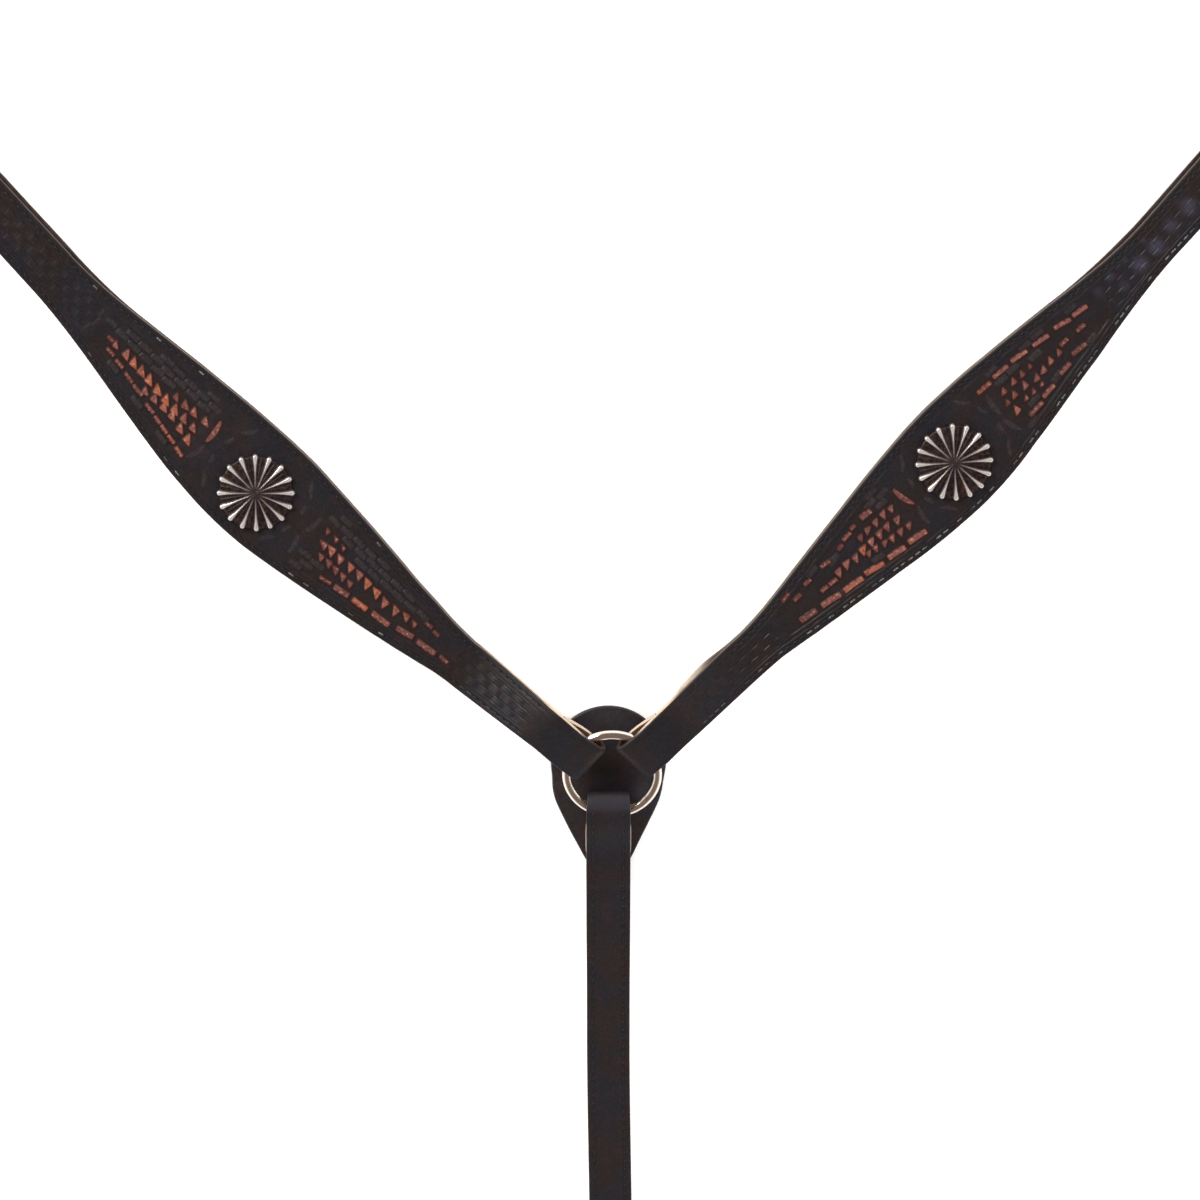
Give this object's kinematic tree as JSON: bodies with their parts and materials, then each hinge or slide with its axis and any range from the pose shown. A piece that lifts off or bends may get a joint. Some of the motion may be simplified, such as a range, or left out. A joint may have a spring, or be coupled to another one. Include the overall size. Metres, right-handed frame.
{
  "type": "western breast collar",
  "caption": "Western breast collar: tooled side pieces with conchos meet at a centre ring over a teardrop pad, with a tie-down strap and tugs.",
  "frame": {"origin": "on the flat back of the ring pad, straight behind the middle of the centre ring", "axes": "+Z out of the face, +Y from the ring towards the tugs, +X to the viewer's right; the part lies flat, face up"},
  "size_m": [1.207, 1.139, 0.0327],
  "materials": {
    "tooled_black": "black tooled leather with a soft sheen",
    "plain_black": "smooth black leather",
    "natural": "natural cream leather, cut edges left pale",
    "nickel": "polished nickel plate",
    "antique_silver": "silver ribs over dark antiqued grooves"
  },
  "bodies": {
    "root": {"ring_pad": "plain_black", "tie_down_fold": "plain_black"},
    "ring": {"center_ring": "nickel"},
    "left_end": {"left_ring_end": "tooled_black"},
    "left_side": {"left_face": "tooled_black", "left_lining": "natural", "left_concho": "antique_silver", "left_concho_screw": "nickel", "left_dee_chape": "plain_black", "left_dee_screws": "nickel"},
    "left_dee": {"left_dee": "nickel"},
    "left_tug": {"left_tug_strap": "plain_black", "left_buckle_chape": "plain_black", "left_keeper": "plain_black", "left_tug_screws": "nickel"},
    "left_buckle": {"left_buckle": "nickel"},
    "left_tongue": {"left_tongue": "nickel"},
    "right_end": {"right_ring_end": "tooled_black"},
    "right_side": {"right_face": "tooled_black", "right_lining": "natural", "right_concho": "antique_silver", "right_concho_screw": "nickel", "right_dee_chape": "plain_black", "right_dee_screws": "nickel"},
    "right_dee": {"right_dee": "nickel"},
    "right_tug": {"right_tug_strap": "plain_black", "right_buckle_chape": "plain_black", "right_keeper": "plain_black", "right_tug_screws": "nickel"},
    "right_buckle": {"right_buckle": "nickel"},
    "right_tongue": {"right_tongue": "nickel"},
    "tie_down": {"tie_down_face": "plain_black", "tie_down_lining": "natural", "snap_chape": "plain_black", "snap_chape_screws": "nickel"},
    "snap_eye": {"snap_eye": "nickel"},
    "snap": {"snap_body": "nickel"},
    "snap_bolt": {"snap_bolt": "nickel"}
  },
  "joints": [
    {"name": "ring_swing", "type": "hinge", "parent": "root", "child": "ring", "pos_m": [0, -0.02366, 0.01075], "axis": [1, 0, 0], "range_deg": [0, 40]},
    {"name": "left_end_swing", "type": "hinge", "parent": "ring", "child": "left_end", "pos_m": [0, 0, 0.01753], "axis": [0, 0.2756, -0.9613], "range_deg": [-30, 3]},
    {"name": "left_side_flex", "type": "hinge", "parent": "left_end", "child": "left_side", "pos_m": [-0.08897, 0.06489, 0.0032], "axis": [0.6266, 0.7793, 0], "range_deg": [-80, 80]},
    {"name": "left_dee_swing", "type": "hinge", "parent": "left_side", "child": "left_dee", "pos_m": [-0.40662, 0.39254, 0.0054], "axis": [-0.7613, -0.6484, 0], "range_deg": [-70, 70]},
    {"name": "left_tug_swing", "type": "hinge", "parent": "left_dee", "child": "left_tug", "pos_m": [-0.41181, 0.39863, 0.0054], "axis": [0, 0, -1], "range_deg": [-25, 25]},
    {"name": "left_buckle_pivot", "type": "hinge", "parent": "left_tug", "child": "left_buckle", "pos_m": [-0.4546, 0.44887, 0.0085], "axis": [0.7613, 0.6484, 0], "range_deg": [-4, 50]},
    {"name": "left_tongue_pivot", "type": "hinge", "parent": "left_buckle", "child": "left_tongue", "pos_m": [-0.4546, 0.44887, 0.0085], "axis": [0.7613, 0.6484, 0], "range_deg": [0, 45]},
    {"name": "right_end_swing", "type": "hinge", "parent": "ring", "child": "right_end", "pos_m": [0, 0, 0.01753], "axis": [0, -0.2756, 0.9613], "range_deg": [-30, 3]},
    {"name": "right_side_flex", "type": "hinge", "parent": "right_end", "child": "right_side", "pos_m": [0.08392, 0.07126, 0.0032], "axis": [0.6782, -0.7349, 0], "range_deg": [-80, 80]},
    {"name": "right_dee_swing", "type": "hinge", "parent": "right_side", "child": "right_dee", "pos_m": [0.39243, 0.40484, 0.0054], "axis": [-0.756, 0.6546, 0], "range_deg": [-70, 70]},
    {"name": "right_tug_swing", "type": "hinge", "parent": "right_dee", "child": "right_tug", "pos_m": [0.39767, 0.41089, 0.0054], "axis": [0, 0, 1], "range_deg": [-25, 25]},
    {"name": "right_buckle_pivot", "type": "hinge", "parent": "right_tug", "child": "right_buckle", "pos_m": [0.44087, 0.46079, 0.0085], "axis": [0.756, -0.6546, 0], "range_deg": [-4, 50]},
    {"name": "right_tongue_pivot", "type": "hinge", "parent": "right_buckle", "child": "right_tongue", "pos_m": [0.44087, 0.46079, 0.0085], "axis": [0.756, -0.6546, 0], "range_deg": [0, 45]},
    {"name": "tie_down_flex", "type": "hinge", "parent": "root", "child": "tie_down", "pos_m": [0, -0.085, 0.0031], "axis": [-1, 0, 0], "range_deg": [-80, 80]},
    {"name": "snap_eye_swing", "type": "hinge", "parent": "tie_down", "child": "snap_eye", "pos_m": [0, -0.408, 0.0054], "axis": [-1, 0, 0], "range_deg": [-75, 75]},
    {"name": "snap_swivel", "type": "hinge", "parent": "snap_eye", "child": "snap", "pos_m": [0, -0.425, 0.0054], "axis": [0, -1, 0], "continuous": true},
    {"name": "bolt_slide", "type": "slide", "parent": "snap", "child": "snap_bolt", "axis": [0, 1, 0], "range_m": [0, 0.011], "stiffness_N_per_m": 150, "springref_m": -0.003}
  ]
}
